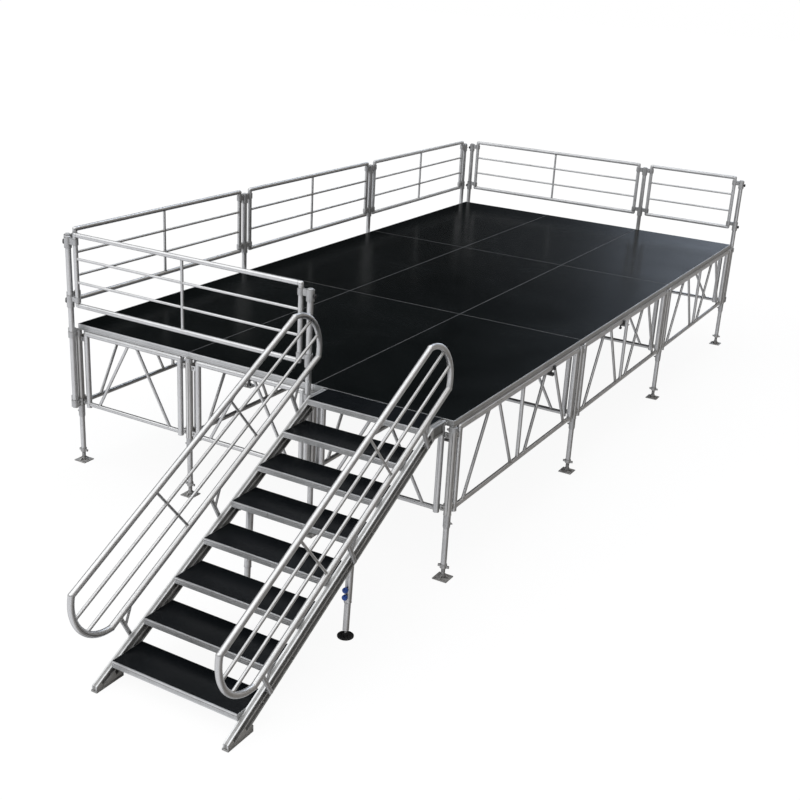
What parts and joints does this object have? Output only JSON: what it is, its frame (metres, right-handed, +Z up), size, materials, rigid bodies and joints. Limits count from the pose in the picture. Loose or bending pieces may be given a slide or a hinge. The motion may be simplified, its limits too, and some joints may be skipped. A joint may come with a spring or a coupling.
{
  "type": "stage riser platform",
  "caption": "Modular aluminium stage on hook-in truss frames and telescopic legs, with guard rails and a stair with looped handrails.",
  "frame": {"origin": "centre of the deck footprint, on the floor", "axes": "+X across the short side of the deck, towards the side the stair stands at; +Y along the long side, away from the stair; +Z up"},
  "size_m": [3.842, 10.1214, 2.1],
  "materials": {
    "aluminium": "satin mill finish",
    "dark_aluminium": "cast, dull",
    "black_board": "black film-faced plywood, satin",
    "zinc_steel": "galvanised, dull",
    "leg_steel_and_aluminium": "satin tube over galvanised jack and plate",
    "black_plastic": "matte",
    "black_rubber": "matte",
    "blue_plastic": "semi-gloss"
  },
  "bodies": {
    "stage_frame": {"deck_boards": "black_board", "deck_edge_frames": "aluminium", "deck_cross_joists": "dark_aluminium", "deck_joint_clamps": "dark_aluminium", "leg_sleeves": "aluminium", "leg_guide_bushes": "dark_aluminium", "leg_head_caps": "dark_aluminium", "leg_and_clamp_bolts": "zinc_steel", "long_truss_frames": "aluminium", "short_truss_frames": "aluminium", "frame_hook_pins": "zinc_steel", "guard_posts": "aluminium", "guard_post_caps": "dark_aluminium", "guard_post_clamps": "dark_aluminium", "guard_rail_front": "aluminium", "guard_rail_left_1": "aluminium", "guard_rail_left_2": "aluminium", "guard_rail_left_3": "aluminium", "guard_rail_back_long": "aluminium", "guard_rail_back_short": "aluminium", "guard_rail_clamps": "dark_aluminium", "guard_clamp_knobs": "black_plastic", "stair_hook_brackets": "zinc_steel"},
    "stair": {"stair_hook_eyes": "dark_aluminium", "stair_stringer_left": "aluminium", "stair_stringer_right": "aluminium", "stair_tread_frames": "aluminium", "stair_tread_boards": "black_board", "stair_tread_bolts": "zinc_steel", "stair_handrail_left": "aluminium", "stair_handrail_right": "aluminium", "stair_handrail_brackets": "dark_aluminium", "stair_leg_pivots": "zinc_steel", "stair_foot_pads": "zinc_steel"},
    "leg_a1": {"adjustable_leg_a1": "leg_steel_and_aluminium"},
    "leg_a2": {"adjustable_leg_a2": "leg_steel_and_aluminium"},
    "leg_a3": {"adjustable_leg_a3": "leg_steel_and_aluminium"},
    "leg_a4": {"adjustable_leg_a4": "leg_steel_and_aluminium"},
    "leg_b1": {"adjustable_leg_b1": "leg_steel_and_aluminium"},
    "leg_b2": {"adjustable_leg_b2": "leg_steel_and_aluminium"},
    "leg_b3": {"adjustable_leg_b3": "leg_steel_and_aluminium"},
    "leg_b4": {"adjustable_leg_b4": "leg_steel_and_aluminium"},
    "leg_c1": {"adjustable_leg_c1": "leg_steel_and_aluminium"},
    "leg_c2": {"adjustable_leg_c2": "leg_steel_and_aluminium"},
    "leg_c3": {"adjustable_leg_c3": "leg_steel_and_aluminium"},
    "leg_c4": {"adjustable_leg_c4": "leg_steel_and_aluminium"},
    "leg_d1": {"adjustable_leg_d1": "leg_steel_and_aluminium"},
    "leg_d2": {"adjustable_leg_d2": "leg_steel_and_aluminium"},
    "leg_d3": {"adjustable_leg_d3": "leg_steel_and_aluminium"},
    "leg_d4": {"adjustable_leg_d4": "leg_steel_and_aluminium"},
    "stair_leg_left": {"stair_leg_sleeve_left": "aluminium"},
    "stair_leg_tube_left": {"stair_inner_leg_left": "aluminium"},
    "stair_foot_left": {"stair_foot_disc_left": "black_rubber"},
    "stair_knob_left_upper": {"stair_leg_knob_left_upper": "blue_plastic"},
    "stair_knob_left_lower": {"stair_leg_knob_left_lower": "blue_plastic"},
    "stair_leg_right": {"stair_leg_sleeve_right": "aluminium"},
    "stair_leg_tube_right": {"stair_inner_leg_right": "aluminium"},
    "stair_foot_right": {"stair_foot_disc_right": "black_rubber"},
    "stair_knob_right_upper": {"stair_leg_knob_right_upper": "blue_plastic"},
    "stair_knob_right_lower": {"stair_leg_knob_right_lower": "blue_plastic"}
  },
  "joints": [
    {"name": "leg_a1_height", "type": "slide", "parent": "stage_frame", "child": "leg_a1", "axis": [0, 0, -1], "range_m": [-0.3, 0.1]},
    {"name": "leg_a2_height", "type": "slide", "parent": "stage_frame", "child": "leg_a2", "axis": [0, 0, -1], "range_m": [-0.3, 0.1]},
    {"name": "leg_a3_height", "type": "slide", "parent": "stage_frame", "child": "leg_a3", "axis": [0, 0, -1], "range_m": [-0.3, 0.1]},
    {"name": "leg_a4_height", "type": "slide", "parent": "stage_frame", "child": "leg_a4", "axis": [0, 0, -1], "range_m": [-0.3, 0.1]},
    {"name": "leg_b1_height", "type": "slide", "parent": "stage_frame", "child": "leg_b1", "axis": [0, 0, -1], "range_m": [-0.3, 0.1]},
    {"name": "leg_b2_height", "type": "slide", "parent": "stage_frame", "child": "leg_b2", "axis": [0, 0, -1], "range_m": [-0.3, 0.1]},
    {"name": "leg_b3_height", "type": "slide", "parent": "stage_frame", "child": "leg_b3", "axis": [0, 0, -1], "range_m": [-0.3, 0.1]},
    {"name": "leg_b4_height", "type": "slide", "parent": "stage_frame", "child": "leg_b4", "axis": [0, 0, -1], "range_m": [-0.3, 0.1]},
    {"name": "leg_c1_height", "type": "slide", "parent": "stage_frame", "child": "leg_c1", "axis": [0, 0, -1], "range_m": [-0.3, 0.1]},
    {"name": "leg_c2_height", "type": "slide", "parent": "stage_frame", "child": "leg_c2", "axis": [0, 0, -1], "range_m": [-0.3, 0.1]},
    {"name": "leg_c3_height", "type": "slide", "parent": "stage_frame", "child": "leg_c3", "axis": [0, 0, -1], "range_m": [-0.3, 0.1]},
    {"name": "leg_c4_height", "type": "slide", "parent": "stage_frame", "child": "leg_c4", "axis": [0, 0, -1], "range_m": [-0.3, 0.1]},
    {"name": "leg_d1_height", "type": "slide", "parent": "stage_frame", "child": "leg_d1", "axis": [0, 0, -1], "range_m": [-0.3, 0.1]},
    {"name": "leg_d2_height", "type": "slide", "parent": "stage_frame", "child": "leg_d2", "axis": [0, 0, -1], "range_m": [-0.3, 0.1]},
    {"name": "leg_d3_height", "type": "slide", "parent": "stage_frame", "child": "leg_d3", "axis": [0, 0, -1], "range_m": [-0.3, 0.1]},
    {"name": "leg_d4_height", "type": "slide", "parent": "stage_frame", "child": "leg_d4", "axis": [0, 0, -1], "range_m": [-0.3, 0.1]},
    {"name": "stair_hook_hinge", "type": "hinge", "parent": "stage_frame", "child": "stair", "pos_m": [1.2425, -3.685, 1.258], "axis": [-1, 0, 0], "range_deg": [0, 8]},
    {"name": "stair_leg_left_fold", "type": "hinge", "parent": "stair", "child": "stair_leg_left", "pos_m": [0.82, -4.73, 0.715], "axis": [1, 0, 0], "range_deg": [0, 95]},
    {"name": "stair_leg_left_length", "type": "slide", "parent": "stair_leg_left", "child": "stair_leg_tube_left", "axis": [0, -0.0506, -0.9987], "range_m": [-0.1, 0.12]},
    {"name": "stair_foot_left_tilt", "type": "hinge", "parent": "stair_leg_tube_left", "child": "stair_foot_left", "pos_m": [0.82, -4.765, 0.024], "axis": [1, 0, 0], "range_deg": [-8, 8]},
    {"name": "stair_knob_left_upper_pull", "type": "slide", "parent": "stair_leg_left", "child": "stair_knob_left_upper", "axis": [0, 0.9987, -0.0506], "range_m": [0, 0.008], "stiffness_N_per_m": 900, "springref_m": -0.004},
    {"name": "stair_knob_left_lower_pull", "type": "slide", "parent": "stair_leg_left", "child": "stair_knob_left_lower", "axis": [0, 0.9987, -0.0506], "range_m": [0, 0.008], "stiffness_N_per_m": 900, "springref_m": -0.004},
    {"name": "stair_leg_right_fold", "type": "hinge", "parent": "stair", "child": "stair_leg_right", "pos_m": [1.665, -4.73, 0.715], "axis": [1, 0, 0], "range_deg": [0, 95]},
    {"name": "stair_leg_right_length", "type": "slide", "parent": "stair_leg_right", "child": "stair_leg_tube_right", "axis": [0, -0.0506, -0.9987], "range_m": [-0.1, 0.12]},
    {"name": "stair_foot_right_tilt", "type": "hinge", "parent": "stair_leg_tube_right", "child": "stair_foot_right", "pos_m": [1.665, -4.765, 0.024], "axis": [1, 0, 0], "range_deg": [-8, 8]},
    {"name": "stair_knob_right_upper_pull", "type": "slide", "parent": "stair_leg_right", "child": "stair_knob_right_upper", "axis": [0, -0.9987, 0.0506], "range_m": [0, 0.008], "stiffness_N_per_m": 900, "springref_m": -0.004},
    {"name": "stair_knob_right_lower_pull", "type": "slide", "parent": "stair_leg_right", "child": "stair_knob_right_lower", "axis": [0, -0.9987, 0.0506], "range_m": [0, 0.008], "stiffness_N_per_m": 900, "springref_m": -0.004}
  ]
}
